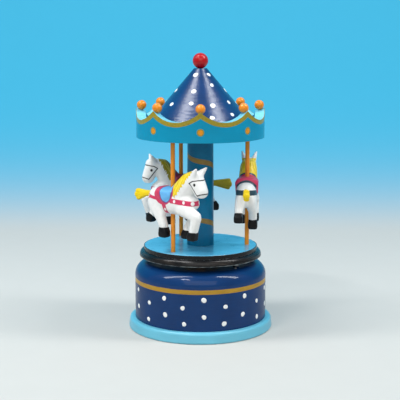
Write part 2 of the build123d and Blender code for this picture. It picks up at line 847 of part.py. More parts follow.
save(base_foot(), "base_foot", light_blue)
save(base_drum(), "base_drum", navy)
save(drum_lid(), "drum_lid", navy)
save(bottom_cover(), "bottom_cover", bare_wood)
save(cover_screws(), "cover_screws", steel)
save(arbor_bush(), "arbor_bush", brass)
save(thrust_washer(), "thrust_washer", steel)
save(movement_bedplate(), "movement_bedplate", steel)
save(movement_screws(), "movement_screws", steel)
save(spring_housing(), "spring_housing", brass)
save(mainspring(), "mainspring", steel)
save(inner_bracket(), "inner_bracket", steel)
save(outer_bracket(), "outer_bracket", steel)
save(governor_frame(), "governor_frame", steel)
save(frame_rivets(), "frame_rivets", brass)
save(comb(), "comb", steel)
save(comb_block(), "comb_block", steel)
save(comb_screws(), "comb_screws", steel)
save(lever_rivet(), "lever_rivet", brass)

save(winding_arbor(), "winding_arbor", steel)
save(great_wheel(), "great_wheel", brass)
save(platform_hub(), "platform_hub", brass)
save(hub_screws(), "hub_screws", steel)
save(platform_rim(), "platform_rim", black)
save(platform_board(), "platform_board", black)
save(platform_deck(), "platform_deck", light_blue)
save(centre_column(), "centre_column", teal)
save(roof_dowel(), "roof_dowel", bare_wood)
save(canopy_disc(), "canopy_disc", cyan)
save(crown_ring(), "crown_ring", cyan)
save(crown_beads(), "crown_beads", orange)
save(bead_pins(), "bead_pins", steel)
save(roof_cone(), "roof_cone", navy)
save(finial_ball(), "finial_ball", red)
save(finial_peg(), "finial_peg", bare_wood)
for number, angle in enumerate(pole_angles):
    save(pole(angle), f"pole_{number + 1}", orange)
    save(horse_place(number) * horse(), f"horse_{number + 1}", white)
    save(horse_place(number) * horse_tail(), f"horse_tail_{number + 1}", yellow)

save(music_cylinder(), "music_cylinder", brass)
save(cylinder_shaft(), "cylinder_shaft", steel)
save(drive_pinion(), "drive_pinion", brass)
save(end_gear(), "end_gear", brass)
save(governor_shaft(), "governor_shaft", steel)
save(worm_wheel(), "worm_wheel", brass)
save(worm_shaft(), "worm_shaft", steel)
save(air_fan(), "air_fan", brass)
save(stop_lever(), "stop_lever", steel)
save(stop_knob(), "stop_knob", black)
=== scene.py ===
# A painted wooden musical carousel: materials, painted decoration, carved horses, light and camera.
# Lengths in the shaders and the horse's own frame are millimetres; every object is in metres.
import math
import random

import bmesh
import bpy
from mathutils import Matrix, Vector

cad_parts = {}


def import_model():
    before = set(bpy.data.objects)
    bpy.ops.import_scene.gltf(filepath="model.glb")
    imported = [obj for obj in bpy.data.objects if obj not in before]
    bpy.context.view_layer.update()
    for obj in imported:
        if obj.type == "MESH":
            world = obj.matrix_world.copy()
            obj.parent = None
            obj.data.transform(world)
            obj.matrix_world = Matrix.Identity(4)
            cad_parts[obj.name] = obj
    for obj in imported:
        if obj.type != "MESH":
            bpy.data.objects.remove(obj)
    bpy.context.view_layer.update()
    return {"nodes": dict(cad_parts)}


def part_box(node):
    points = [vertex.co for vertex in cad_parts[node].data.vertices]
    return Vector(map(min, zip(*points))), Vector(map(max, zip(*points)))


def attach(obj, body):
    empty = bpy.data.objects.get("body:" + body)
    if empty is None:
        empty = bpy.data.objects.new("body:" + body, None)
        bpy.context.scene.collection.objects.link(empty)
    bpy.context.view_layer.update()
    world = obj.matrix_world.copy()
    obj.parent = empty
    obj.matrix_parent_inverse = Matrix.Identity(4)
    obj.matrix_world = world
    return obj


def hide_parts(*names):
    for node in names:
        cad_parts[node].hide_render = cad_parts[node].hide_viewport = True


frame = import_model()
nodes = frame["nodes"]
MM = 0.001

# ---- colours, linear ----
NAVY = (0.003, 0.032, 0.125)
FOOT_BLUE = (0.135, 0.460, 0.600)
DECK_BLUE = (0.090, 0.400, 0.620)
CROWN_BLUE = (0.000, 0.245, 0.410)
COLUMN_BLUE = (0.000, 0.150, 0.290)
GOLD = (0.420, 0.235, 0.025)
OLIVE_GOLD = (0.290, 0.230, 0.025)
ORANGE = (0.740, 0.225, 0.006)
DOT_ORANGE = (0.660, 0.240, 0.015)
POLE_ORANGE = (0.760, 0.250, 0.014)
RED = (0.400, 0.001, 0.004)
BLACK = (0.004, 0.004, 0.005)
# black knob paint lifted towards dark blue-grey as painted light, so the knob shows in the shade under the
# platform
KNOB_BLACK_WITH_PAINTED_LIGHT = (0.014, 0.020, 0.028)
WHITE = (0.840, 0.830, 0.810)
DOT_WHITE = (0.860, 0.860, 0.840)
PINK = (0.580, 0.035, 0.100)
# pink seat paint for the horse at the back, darkened as painted shade
SHADED_PINK = (0.330, 0.030, 0.065)
PURPLE = (0.160, 0.060, 0.220)
SEAT_BLUE = (0.130, 0.420, 0.760)
YELLOW = (0.880, 0.620, 0.002)
# olive hair paint: a real greenish yellow, made darker in part as painted shade for the horse at the back
SHADED_OLIVE = (0.340, 0.275, 0.006)
SLATE = (0.020, 0.055, 0.080)
CUT_BLUE = (0.180, 0.560, 0.720)
BRASS = (0.640, 0.430, 0.120)
STEEL = (0.500, 0.510, 0.530)
BIRCH = (0.560, 0.360, 0.170)
PAPER = (0.560, 0.560, 0.535)
SKY = (0.061, 0.475, 0.735)

# ---- decoration of the turned pieces, in millimetres ----
DRUM_DOT_RADIUS = 49.1
DRUM_DOT_HEIGHTS = (31.3, 18.8)
DRUM_DOT_COLUMNS = 20
LOW_COLUMN_DROP = 5.7
BAND_LOW = 35.4
BAND_HIGH = 38.6
RIBBON_PITCH = 43.75
RIBBON_HEIGHT_AT_FRONT = 125.6
RIBBON_SWAY = 5.2
RIBBON_HALF_WIDTH = 1.9
SCALLOP_CENTRE = 182.7
SCALLOP_RADIUS = 25.6
CROWN_RADIUS = 47.2
CROWN_LINE_WIDTH = 3.2
CROWN_DOT_HEIGHT = 150.5
ROOF_BASE_RADIUS = 40.0
ROOF_TOP_RADIUS = 4.8
ROOF_SLOPE_START = 151.8
ROOF_TOP = 193.1
# height, rise and fall from dot to dot, first angle, angle between dots, number of dots
ROOF_DOT_RINGS = (
    (188.5, 0.0, -115, 70, 5),
    (179.6, -2.1, -106, 50, 7),
    (168.5, -0.6, -141, 35, 10),
    (160.3, -1.0, -75, 31, 9),
    (154.2, 0.0, -60, 40, 9),
)
DECK_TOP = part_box("platform_deck")[1].z
POLE_CIRCLE = 34.8
POLE_ANGLES = (-124.5, -4.5, 115.5)
HORSE_HEADINGS = (-42.0, 84.0, 190.0)
HORSE_LIFTS = (0.0, 1.8, 0.0)
NECK_LEAN = 0.465


# ------------------------------------------------------------------ shader building


class Paint:
    """A principled material built from small maths helpers, in millimetres of the piece's own frame."""

    def __init__(self, name, roughness=0.3, coat=0.0, metallic=0.0, gloss=0.5, coat_roughness=0.12):
        self.material = bpy.data.materials.new(name)
        self.material.use_nodes = True
        self.tree = self.material.node_tree
        self.tree.nodes.clear()
        self.shader = self.tree.nodes.new("ShaderNodeBsdfPrincipled")
        output = self.tree.nodes.new("ShaderNodeOutputMaterial")
        self.tree.links.new(self.shader.outputs["BSDF"], output.inputs["Surface"])
        self.shader.inputs["Roughness"].default_value = roughness
        self.shader.inputs["Metallic"].default_value = metallic
        self.shader.inputs["Specular IOR Level"].default_value = gloss
        self.shader.inputs["Coat Weight"].default_value = coat
        self.shader.inputs["Coat Roughness"].default_value = coat_roughness
        coordinates = self.tree.nodes.new("ShaderNodeTexCoord")
        self.place = self.vector("SCALE", coordinates.outputs["Object"], scale=1 / MM)
        self.x, self.y, self.z = self.split(self.place)
        self.relief = None

    def link(self, value, socket):
        if isinstance(value, bpy.types.NodeSocket):
            self.tree.links.new(value, socket)
        else:
            socket.default_value = value

    def maths(self, operation, *values, clamp=False):
        node = self.tree.nodes.new("ShaderNodeMath")
        node.operation = operation
        node.use_clamp = clamp
        for socket, value in zip(node.inputs, values):
            self.link(value, socket)
        return node.outputs[0]

    def vector(self, operation, first, second=None, scale=None):
        node = self.tree.nodes.new("ShaderNodeVectorMath")
        node.operation = operation
        self.link(first, node.inputs[0])
        if second is not None:
            self.link(second, node.inputs[1])
        if scale is not None:
            node.inputs["Scale"].default_value = scale
        return node.outputs["Value"] if operation in ("LENGTH", "DOT_PRODUCT") else node.outputs[0]

    def split(self, vector):
        node = self.tree.nodes.new("ShaderNodeSeparateXYZ")
        self.link(vector, node.inputs[0])
        return node.outputs[0], node.outputs[1], node.outputs[2]

    def join(self, x, y, z):
        node = self.tree.nodes.new("ShaderNodeCombineXYZ")
        for socket, value in zip(node.inputs, (x, y, z)):
            self.link(value, socket)
        return node.outputs[0]

    def noise(self, place, scale, detail=3.0, roughness=0.55):
        node = self.tree.nodes.new("ShaderNodeTexNoise")
        self.link(place, node.inputs["Vector"])
        node.inputs["Scale"].default_value = scale
        node.inputs["Detail"].default_value = detail
        node.inputs["Roughness"].default_value = roughness
        return node.outputs["Fac"]

    def spread(self, value, low, high):
        """A 0 to 1 value laid out from low to high."""
        return self.maths("MULTIPLY_ADD", value, high - low, low)

    def mix(self, mask, below, above):
        node = self.tree.nodes.new("ShaderNodeMix")
        node.data_type = "RGBA"
        self.link(mask, node.inputs["Factor"])
        for socket, value in ((node.inputs["A"], below), (node.inputs["B"], above)):
            if not isinstance(value, bpy.types.NodeSocket):
                value = (*value, 1.0)
            self.link(value, socket)
        return node.outputs["Result"]

    def scaled(self, colour, factor):
        return self.vector("MULTIPLY", colour, self.join(factor, factor, factor))

    def inside(self, distance, reach, soft=0.25):
        """1 where distance is under reach, with a short soft edge."""
        margin = self.maths("SUBTRACT", reach, distance)
        return self.maths("MULTIPLY_ADD", margin, 1 / soft, 0.5, clamp=True)

    def both(self, first, second):
        return self.maths("MULTIPLY", first, second)

    def either(self, first, second):
        return self.maths("MAXIMUM", first, second)

    def add_relief(self, height, depth):
        """Adds height, in millimetres, to the surface relief."""
        part = self.maths("MULTIPLY", height, depth)
        self.relief = part if self.relief is None else self.maths("ADD", self.relief, part)

    def angle(self):
        """Angle round the upright axis, in radians, 0 along +X."""
        return self.maths("ARCTAN2", self.y, self.x)

    def wobble(self, value, amount, scale=0.5):
        """A hand-drawn edge: value moved a little by noise."""
        drift = self.maths("SUBTRACT", self.noise(self.place, scale, 2.0), 0.5)
        return self.maths("MULTIPLY_ADD", drift, 2 * amount, value)

    def finish(self, colour, edge_radius=0.3):
        self.link(colour, self.shader.inputs["Base Color"])
        bevel = self.tree.nodes.new("ShaderNodeBevel")
        bevel.samples = 6
        bevel.inputs["Radius"].default_value = edge_radius * MM
        normal = bevel.outputs["Normal"]
        if self.relief is not None:
            bump = self.tree.nodes.new("ShaderNodeBump")
            bump.inputs["Strength"].default_value = 1.0
            bump.inputs["Distance"].default_value = MM
            self.link(self.relief, bump.inputs["Height"])
            self.link(normal, bump.inputs["Normal"])
            normal = bump.outputs["Normal"]
        self.link(normal, self.shader.inputs["Normal"])
        return self.material


def brushed(paint, colour, turned=True, streak=0.10, patch=0.10, relief=0.012):
    """Hand-brushed paint over wood: soft patches, brush streaks and a faint grain underneath."""
    if turned:
        round_way = paint.maths("MULTIPLY", paint.angle(), 3.0)
        along = paint.join(round_way, paint.maths("MULTIPLY", paint.z, 1.3), 0.0)
    else:
        along = paint.join(
            paint.maths("MULTIPLY", paint.x, 0.12), paint.y, paint.maths("MULTIPLY", paint.z, 1.1)
        )
    streaks = paint.noise(along, 1.0, 4.0, 0.6)
    patches = paint.noise(paint.place, 0.07, 2.0)
    peel = paint.noise(paint.place, 1.6, 2.0)
    grain_place = paint.join(
        paint.maths("MULTIPLY", paint.x, 0.15), paint.maths("MULTIPLY", paint.y, 1.4), paint.z
    )
    grain = paint.noise(grain_place, 0.8, 5.0, 0.65)
    lighten = paint.maths(
        "ADD",
        paint.spread(streaks, 1 - streak, 1 + streak),
        paint.spread(patches, -patch, patch),
    )
    paint.add_relief(streaks, relief * 1.5)
    paint.add_relief(peel, relief)
    paint.add_relief(grain, relief)
    base = paint.shader.inputs["Roughness"].default_value
    paint.link(paint.spread(streaks, base * 0.75, base * 1.35), paint.shader.inputs["Roughness"])
    return paint.scaled(colour, lighten)


def worn_edges(paint, colour, worn, amount=0.5, radius=0.5):
    """Paint rubbed thin along sharp edges, broken up by noise."""
    bevel = paint.tree.nodes.new("ShaderNodeBevel")
    bevel.samples = 6
    bevel.inputs["Radius"].default_value = radius * MM
    geometry = paint.tree.nodes.new("ShaderNodeNewGeometry")
    turn = paint.vector("DOT_PRODUCT", bevel.outputs["Normal"], geometry.outputs["Normal"])
    edge = paint.maths("MULTIPLY_ADD", turn, -9.0, 9.0, clamp=True)
    wear_and_reflection = paint.maths("GREATER_THAN", paint.noise(paint.place, 0.9, 4.0), 0.52)
    return paint.mix(paint.maths("MULTIPLY", paint.both(edge, wear_and_reflection), amount), colour, worn)


def use(material, *names):
    for name in names:
        nodes[name].data.materials.clear()
        nodes[name].data.materials.append(material)


# ------------------------------------------------------------------ painted turned pieces


def foot_paint():
    paint = Paint("foot_paint", roughness=0.34, coat=0.15, gloss=0.3)
    colour = brushed(paint, FOOT_BLUE, streak=0.06, patch=0.08)
    colour = worn_edges(paint, colour, (0.42, 0.66, 0.80), amount=0.35)
    return paint.finish(colour)


def drum_paint():
    """Navy gloss with one gold band round the shoulder's foot."""
    paint = Paint("drum_paint", roughness=0.34, coat=0.36, gloss=0.05, coat_roughness=0.06)
    colour = brushed(paint, NAVY, streak=0.16, patch=0.20, relief=0.010)
    height = paint.wobble(paint.z, 0.18, 0.12)
    off_middle = paint.maths("ABSOLUTE", paint.maths("SUBTRACT", height, (BAND_LOW + BAND_HIGH) / 2))
    band = paint.inside(off_middle, (BAND_HIGH - BAND_LOW) / 2, 0.3)
    brushing = paint.noise(
        paint.join(paint.maths("MULTIPLY", paint.angle(), 5.0), paint.z, 0.0), 1.2, 4.0
    )
    gold = paint.scaled(GOLD, paint.spread(brushing, 0.55, 1.35))
    paint.add_relief(band, 0.05)
    return paint.finish(paint.mix(band, colour, gold), edge_radius=0.05)


def rim_paint():
    """Black paint over lathe rings, with brown streaks on the nose as a painted reflection and a pale band
    along the lower edge as a painted highlight.
    """
    paint = Paint("rim_paint", roughness=0.26, coat=0.10, gloss=0.20)
    rings = paint.noise(paint.join(paint.maths("MULTIPLY", paint.angle(), 0.8), 0.0, paint.z), 1.1, 4.0, 0.7)
    colour = brushed(paint, BLACK, streak=0.3, patch=0.3, relief=0.008)
    # painted reflection: brown-grey streaks laid into the colour across the nose of the rim
    on_nose = paint.inside(paint.maths("ABSOLUTE", paint.maths("SUBTRACT", paint.z, 57.0)), 1.4, 0.8)
    streaks = paint.maths("MULTIPLY_ADD", rings, 5.0, -2.3, clamp=True)
    patches = paint.maths("MULTIPLY_ADD", paint.noise(paint.place, 0.10, 3.0), 3.0, -1.0, clamp=True)
    wear_and_reflection = paint.both(on_nose, paint.both(streaks, patches))
    colour = paint.mix(wear_and_reflection, colour, (0.085, 0.068, 0.055))
    # painted highlight: a pale, broken band along the rim's lower edge
    lower_edge_highlight = paint.inside(paint.z, 54.75, 0.3)
    uneven = paint.maths("MULTIPLY_ADD", paint.noise(paint.place, 0.25, 4.0), 3.5, -1.2, clamp=True)
    colour = paint.mix(paint.both(lower_edge_highlight, uneven), colour, (0.32, 0.37, 0.38))
    colour = worn_edges(paint, colour, (0.30, 0.34, 0.36), amount=0.6, radius=0.35)
    paint.add_relief(rings, 0.09)
    return paint.finish(colour)


def deck_paint():
    paint = Paint("deck_paint", roughness=0.28, coat=0.6, gloss=0.3, coat_roughness=0.10)
    colour = brushed(paint, DECK_BLUE, turned=False, streak=0.05, patch=0.10)
    colour = worn_edges(paint, colour, (0.50, 0.70, 0.80), amount=0.6)
    return paint.finish(colour)


def column_paint():
    """Deep blue with a gold ribbon that winds down the column."""
    paint = Paint("column_paint", roughness=0.34, coat=0.25, gloss=0.1, coat_roughness=0.10)
    colour = brushed(paint, COLUMN_BLUE, streak=0.18, patch=0.20)
    from_front = paint.maths("ADD", paint.angle(), math.pi / 2)
    fall = paint.maths("MULTIPLY", from_front, -RIBBON_PITCH / (2 * math.pi))
    sway = paint.maths("MULTIPLY", paint.maths("SINE", from_front), RIBBON_SWAY)
    line = paint.maths("ADD", paint.maths("ADD", fall, sway), RIBBON_HEIGHT_AT_FRONT)
    height = paint.maths("SUBTRACT", paint.wobble(paint.z, 0.35, 0.15), line)
    repeated = paint.maths("WRAP", height, RIBBON_PITCH / 2, -RIBBON_PITCH / 2)
    ribbon = paint.inside(paint.maths("ABSOLUTE", repeated), RIBBON_HALF_WIDTH, 0.35)
    brushing = paint.noise(paint.join(paint.angle(), paint.z, 0.0), 3.0, 3.0)
    gold = paint.scaled((0.30, 0.19, 0.05), paint.spread(brushing, 0.5, 1.4))
    paint.add_relief(ribbon, 0.05)
    return paint.finish(paint.mix(ribbon, colour, gold))


def crown_paint():
    """Blue with a gold line under the scalloped edge and a ringed orange dot under each point."""
    paint = Paint("crown_paint", roughness=0.34, coat=0.35, gloss=0.1, coat_roughness=0.08)
    colour = brushed(paint, CROWN_BLUE, streak=0.07, patch=0.10)
    geometry = paint.tree.nodes.new("ShaderNodeNewGeometry")
    facing_up = paint.maths(
        "MULTIPLY_ADD", paint.split(geometry.outputs["Normal"])[2], 6.0, -1.8, clamp=True
    )
    cut = paint.scaled(CUT_BLUE, paint.spread(paint.noise(paint.place, 0.6, 4.0), 0.75, 1.2))
    colour = paint.mix(facing_up, colour, cut)
    radius = paint.vector("LENGTH", paint.join(paint.x, paint.y, 0.0))
    outside = paint.maths("GREATER_THAN", radius, CROWN_RADIUS - 0.3)
    eighth = math.pi / 4
    from_front = paint.maths("ADD", paint.angle(), math.pi / 2)
    from_point = paint.maths("WRAP", from_front, eighth / 2, -eighth / 2)
    from_valley = paint.maths("WRAP", paint.maths("ADD", from_front, eighth / 2), eighth / 2, -eighth / 2)
    across = paint.maths("MULTIPLY", paint.maths("SINE", from_valley), CROWN_RADIUS)
    drop = paint.maths("SUBTRACT", SCALLOP_CENTRE, paint.wobble(paint.z, 0.2, 0.2))
    from_arc = paint.maths("SUBTRACT", paint.vector("LENGTH", paint.join(across, drop, 0.0)), SCALLOP_RADIUS)
    line = paint.both(outside, paint.inside(from_arc, CROWN_LINE_WIDTH, 0.3))
    brushing = paint.noise(paint.place, 0.9, 4.0)
    gold = paint.scaled(OLIVE_GOLD, paint.spread(brushing, 0.6, 1.4))
    colour = paint.mix(line, colour, gold)
    sideways = paint.maths("MULTIPLY", from_point, CROWN_RADIUS)
    upward = paint.maths("SUBTRACT", paint.z, CROWN_DOT_HEIGHT)
    from_dot = paint.wobble(paint.vector("LENGTH", paint.join(sideways, upward, 0.0)), 0.25, 0.7)
    ring = paint.both(outside, paint.inside(from_dot, 2.6, 0.4))
    heart = paint.both(outside, paint.inside(from_dot, 1.75, 0.4))
    colour = paint.mix(ring, colour, gold)
    colour = paint.mix(heart, colour, DOT_ORANGE)
    paint.add_relief(paint.either(line, ring), 0.05)
    return paint.finish(colour)


def canopy_paint():
    paint = Paint("canopy_paint", roughness=0.45, gloss=0.2)
    return paint.finish(brushed(paint, (0.0, 0.16, 0.33), turned=False, streak=0.12, patch=0.15))


def roof_paint():
    """Navy gloss, brushed from the top down so that the strokes show in the light."""
    paint = Paint("roof_paint", roughness=0.22, coat=0.0, gloss=0.50)
    downward = paint.join(
        paint.maths("MULTIPLY", paint.angle(), 9.0), paint.maths("MULTIPLY", paint.z, 0.10), 0.0
    )
    strokes = paint.noise(downward, 1.0, 5.0, 0.65)
    colour = brushed(paint, NAVY, streak=0.12, patch=0.20, relief=0.030)
    colour = paint.scaled(colour, paint.spread(strokes, 0.80, 1.25))
    round_way = paint.maths("MULTIPLY", paint.angle(), 1.6)
    loose = paint.noise(paint.join(round_way, paint.maths("MULTIPLY", paint.z, 0.55), 0.0), 1.0, 3.0)
    paint.add_relief(loose, 0.22)
    paint.add_relief(strokes, 0.02)
    return paint.finish(colour)


def plain_paint(name, colour, roughness=0.25, coat=0.2, turned=True, patch=0.10, gloss=0.3):
    paint = Paint(name, roughness=roughness, coat=coat, gloss=gloss, coat_roughness=0.05)
    return paint.finish(brushed(paint, colour, turned=turned, streak=0.10, patch=patch, relief=0.010))


def bare_wood():
    paint = Paint("bare_wood", roughness=0.55)
    rings = paint.noise(
        paint.join(paint.maths("MULTIPLY", paint.x, 0.06), paint.y, paint.maths("MULTIPLY", paint.z, 0.6)),
        0.5, 6.0, 0.6,
    )
    paint.add_relief(rings, 0.03)
    return paint.finish(paint.scaled(BIRCH, paint.spread(rings, 0.6, 1.35)))


def metal(name, colour, roughness):
    paint = Paint(name, roughness=roughness, metallic=1.0)
    brushing = paint.noise(
        paint.join(paint.maths("MULTIPLY", paint.x, 0.2), paint.maths("MULTIPLY", paint.y, 4.0), paint.z),
        1.0, 4.0, 0.6,
    )
    stains = paint.noise(paint.place, 0.25, 3.0)
    paint.add_relief(brushing, 0.006)
    paint.link(paint.spread(brushing, roughness * 0.7, roughness * 1.4), paint.shader.inputs["Roughness"])
    return paint.finish(paint.scaled(colour, paint.spread(stains, 0.75, 1.15)), edge_radius=0.1)


# ------------------------------------------------------------------ dots dabbed on by brush


def dab(mesh, place, radius, rng):
    """One round dab of thick paint, let a little into the surface and proud at its middle."""
    count = 20
    lean = rng.uniform(0, 2 * math.pi)
    rings = []
    for reach, height in ((0.9, -0.15), (1.0, -0.02), (0.86, 0.07), (0.5, 0.10)):
        ring = []
        for step in range(count):
            angle = 2 * math.pi * step / count
            wave = 1 + 0.06 * math.sin(2 * angle + lean) + 0.03 * math.sin(3 * angle + 2 * lean)
            flat = Vector((math.cos(angle), math.sin(angle)))
            ring.append(mesh.verts.new(place(flat * radius * reach * wave, height)))
        rings.append(ring)
    for outer, inner in zip(rings, rings[1:]):
        for step in range(count):
            after = (step + 1) % count
            mesh.faces.new((outer[step], outer[after], inner[after], inner[step]))
    mesh.faces.new(rings[-1])
    mesh.faces.new(list(reversed(rings[0])))


def finish_mesh(mesh, name, body, material):
    data = bpy.data.meshes.new(name)
    bmesh.ops.recalc_face_normals(mesh, faces=mesh.faces)
    mesh.to_mesh(data)
    mesh.free()
    obj = bpy.data.objects.new(name, data)
    bpy.context.scene.collection.objects.link(obj)
    data.shade_smooth()
    data.materials.append(material)
    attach(obj, body)
    return obj


def drum_dots(material):
    """Pairs of dots round the drum; every other pair sits lower."""
    rng = random.Random(11)
    mesh = bmesh.new()
    radius = DRUM_DOT_RADIUS
    for column in range(DRUM_DOT_COLUMNS):
        angle = math.radians(-87 + 18.2 * column - 0.2 * max(0, column - 4))
        low = LOW_COLUMN_DROP if column % 2 else 0.0
        for height in DRUM_DOT_HEIGHTS:
            turn = angle + rng.uniform(-0.02, 0.02)
            level = height - low + rng.uniform(-0.4, 0.4)

            def place(flat, proud, turn=turn, level=level):
                there = turn + flat.x / radius
                reach = radius + proud
                return Vector((reach * math.cos(there), reach * math.sin(there), level + flat.y)) * MM

            size = rng.uniform(1.65, 1.95)
            dab(mesh, place, size, rng)
    return finish_mesh(mesh, "drum_dots", "base", material)


def roof_dots(material):
    """Dots in loose rings round the cone; the second ring goes up and down."""
    rng = random.Random(5)
    mesh = bmesh.new()
    slope = math.atan2(ROOF_BASE_RADIUS - ROOF_TOP_RADIUS, ROOF_TOP - ROOF_SLOPE_START)
    for level, zigzag, first, spacing, count in ROOF_DOT_RINGS:
        for step in range(count):
            turn = math.radians(first + spacing * step + rng.uniform(-1.5, 1.5))
            height = level + zigzag * (1 - 2 * (step % 2)) + rng.uniform(-0.3, 0.3)

            def place(flat, proud, turn=turn, height=height):
                z = height + flat.y * math.cos(slope)
                reach = ROOF_TOP_RADIUS + (ROOF_TOP - z) * math.tan(slope)
                there = turn + flat.x / reach
                out = reach + proud * math.cos(slope)
                height_out = z + proud * math.sin(slope)
                return Vector((out * math.cos(there), out * math.sin(there), height_out)) * MM

            dab(mesh, place, rng.uniform(1.6, 2.05), rng)
    return finish_mesh(mesh, "roof_dots", "carousel", material)


# ------------------------------------------------------------------ horses


def lump_points(centre, radii, boxy=0.85, steps=14):
    """Points of an egg; a lower boxy makes it squarer."""
    points = []
    for ring in range(steps + 1):
        lift = -math.pi / 2 + math.pi * ring / steps
        for step in range(2 * steps):
            turn = math.pi * step / steps
            direction = (
                math.cos(lift) * math.cos(turn), math.cos(lift) * math.sin(turn), math.sin(lift),
            )
            square = [math.copysign(abs(part) ** boxy, part) for part in direction]
            points.append([c + r * part for c, r, part in zip(centre, radii, square)])
    return points


def add_limb(mesh, *lumps, boxy=0.85):
    """The skin stretched over two or more lumps."""
    limb = bmesh.new()
    for centre, radii in lumps:
        for point in lump_points(centre, radii, boxy):
            limb.verts.new(Vector(point) * MM)
    hull = bmesh.ops.convex_hull(limb, input=limb.verts)
    loose = [v for v in hull["geom_interior"] if isinstance(v, bmesh.types.BMVert)]
    loose += [v for v in hull["geom_unused"] if isinstance(v, bmesh.types.BMVert)]
    bmesh.ops.delete(limb, geom=list(set(loose)), context="VERTS")
    data = bpy.data.meshes.new("limb")
    limb.to_mesh(data)
    limb.free()
    mesh.from_mesh(data)
    bpy.data.meshes.remove(data)


def horse_shape(crest, nose, ear_base, ear_tip, saddle_top, hind_x, hind_z, back_x, fore_z):
    """Cantering horse, nose along +X, over its own pole at deck height."""
    mesh = bmesh.new()
    add_limb(mesh, ((-12.0, 0, 37.6), (9.4, 7.7, 9.3)), ((8.6, 0, 37.4), (9.9, 7.6, 9.6)))
    add_limb(mesh, ((11.0, 0, 38.4), (9.0, 7.0, 7.6)), ((15.6, 0, 37.4), (7.8, 6.2, 5.6)))
    add_limb(mesh, ((7.5, 0, 42.5), (8.5, 7.2, 7.5)), ((14.8 + crest, 0, 53.6 - crest), (6.8, 6.5, 6.2)))
    add_limb(mesh, ((15.0 + crest, 0, 54.4 - crest), (6.2, 6.2, 6.0)), ((21.8, 0, 56.4), (5.8, 5.5, 4.8)))
    add_limb(mesh, ((22.0, 0, 55.6), (5.6, 5.4, 5.2)), ((nose, 0, 46.6), (4.7, 4.6, 4.6)))
    saddle = (
        ((-8.6, 0, saddle_top - 4.4), (2.0, 8.5, 4.4)), ((4.0, 0, saddle_top - 4.4), (2.0, 8.3, 4.2)),
        ((-3.0, 0, 38.4), (3.8, 8.4, 3.0)),
    )
    add_limb(mesh, *saddle)
    for side in (-1, 1):
        add_limb(
            mesh,
            ((ear_base[0], side * 3.5, ear_base[1]), (2.8, 2.0, 2.6)),
            ((ear_tip[0], side * 5.4, ear_tip[1]), (0.8, 0.7, 0.7)),
        )
    add_limb(mesh, ((12.0, -3.4, 33.8), (6.0, 4.1, 5.6)), ((26.2, -4.6, 29.2), (4.0, 3.3, 3.8)))
    add_limb(mesh, ((26.6, -4.6, 28.4), (3.8, 3.2, 3.4)), ((24.0, -4.6, 18.6), (3.2, 3.1, 2.2)))
    add_limb(mesh, ((11.4, 3.4, 33.4), (5.8, 4.1, 5.5)), ((15.4, 4.6, 26.0), (3.9, 3.2, 3.5)))
    add_limb(mesh, ((15.2, 4.6, 25.4), (3.6, 3.1, 3.4)), ((10.2, 4.6, 17.2 + fore_z), (3.0, 3.0, 2.2)))
    add_limb(mesh, ((-12.6, -3.2, 35.0), (8.2, 4.4, 7.6)), ((-8.0, -4.6, 26.0), (4.1, 3.3, 4.0)))
    add_limb(mesh, ((-8.0, -4.6, 26.0), (3.9, 3.2, 3.8)), ((-4.8 + back_x, -4.6, 19.0), (3.0, 3.1, 2.4)))
    add_limb(mesh, ((-14.0, 3.2, 35.0), (7.8, 4.4, 7.4)), ((-20.8, 4.6, 29.4), (4.3, 3.3, 4.0)))
    lower = (-24.4 + hind_x, 4.6, 24.8 + hind_z)
    add_limb(mesh, ((-20.8, 4.6, 29.4), (4.0, 3.2, 3.8)), (lower, (2.9, 3.0, 2.8)))
    return mesh


def hooves_shape(hind_x, hind_z, back_x, fore_z):
    """Four painted hooves, squarer than the legs."""
    mesh = bmesh.new()
    for top, bottom, upper, lower in (
        ((23.9, -4.6, 17.2), (23.0, -4.6, 14.2), (3.2, 3.2, 1.4), (3.6, 3.4, 2.5)),
        ((9.8, 4.6, 15.8 + fore_z), (8.9, 4.6, 12.6 + fore_z), (3.1, 3.2, 1.4), (3.6, 3.4, 2.5)),
        (
            (-4.7 + back_x, -4.6, 17.2), (-4.4 + back_x, -4.6, 13.6),
            (3.2, 3.3, 1.4), (3.8, 3.6, 2.8),
        ),
        (
            (-25.4 + hind_x, 4.6, 23.6 + hind_z), (-26.8 + hind_x, 4.6, 21.0 + hind_z),
            (2.9, 3.1, 2.2), (3.1, 3.4, 2.8),
        ),
    ):
        add_limb(mesh, (top, upper), (bottom, lower), boxy=0.5)
    return mesh


def tail_shape(longer, aside, raised):
    """A brush of hair: narrow root, lobed flare at the end."""
    mesh = bmesh.new()
    root = ((-19.0, 0, 41.2), (2.0, 1.6, 1.8))
    middle = (-28.0, aside * 0.5, 40.1 + 0.6 * raised)
    add_limb(mesh, root, (middle, (2.4, 2.0, 2.4)))
    for forward, up, size in (
        (-35.2, 41.3, (1.7, 2.3, 1.8)), (-36.0, 38.7, (1.8, 2.6, 2.4)), (-34.6, 36.2, (1.8, 2.2, 1.8)),
    ):
        add_limb(mesh, (middle, (2.2, 1.9, 2.5)), ((forward - longer, aside, up + raised), size))
    return mesh


def carved(mesh, name, voxel, rounds):
    """Fuses the lumps into one skin, as a knife and sandpaper would leave it."""
    data = bpy.data.meshes.new(name)
    mesh.to_mesh(data)
    mesh.free()
    obj = bpy.data.objects.new(name, data)
    bpy.context.scene.collection.objects.link(obj)
    remesh = obj.modifiers.new("fuse", "REMESH")
    remesh.mode = "VOXEL"
    remesh.voxel_size = voxel * MM
    smooth = obj.modifiers.new("sand", "SMOOTH")
    smooth.factor = 0.5
    smooth.iterations = rounds
    depsgraph = bpy.context.evaluated_depsgraph_get()
    skin = bpy.data.meshes.new_from_object(obj.evaluated_get(depsgraph))
    bpy.data.objects.remove(obj)
    skin.name = name
    skin.shade_smooth()
    return skin


